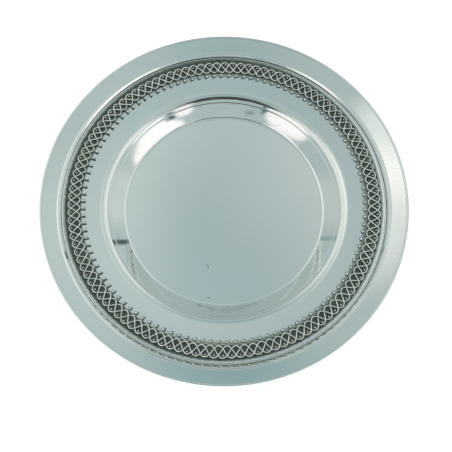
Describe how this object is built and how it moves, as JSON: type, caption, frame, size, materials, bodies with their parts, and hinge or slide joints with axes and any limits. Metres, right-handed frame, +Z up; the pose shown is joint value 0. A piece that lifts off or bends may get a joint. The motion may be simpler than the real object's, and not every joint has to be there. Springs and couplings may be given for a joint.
{
  "type": "offering plate",
  "caption": "Small round silver plate with a deep well, a band of woven wire filigree and a plain sloping rim.",
  "frame": {"origin": "on the plate's axis, at the flat underside of the well floor", "axes": "+Z up out of the well along the plate's axis; +X is the direction from which the filigree's cells and its seam are counted, anticlockwise from above"},
  "size_m": [0.155, 0.155, 0.0141],
  "materials": {
    "polished_silver": "polished",
    "silver_wire": "polished",
    "silver_bead": "polished",
    "oxidised_silver": "matte"
  },
  "bodies": {
    "root": {"well_dish": "polished_silver", "gallery_strip": "oxidised_silver", "lattice_wire_1": "silver_wire", "lattice_wire_2": "silver_wire", "lattice_wire_3": "silver_wire", "inner_bead_row": "silver_bead", "outer_bead_row": "silver_bead", "collar_ring": "polished_silver", "outer_rim": "polished_silver", "edge_wire": "polished_silver"}
  },
  "joints": []
}
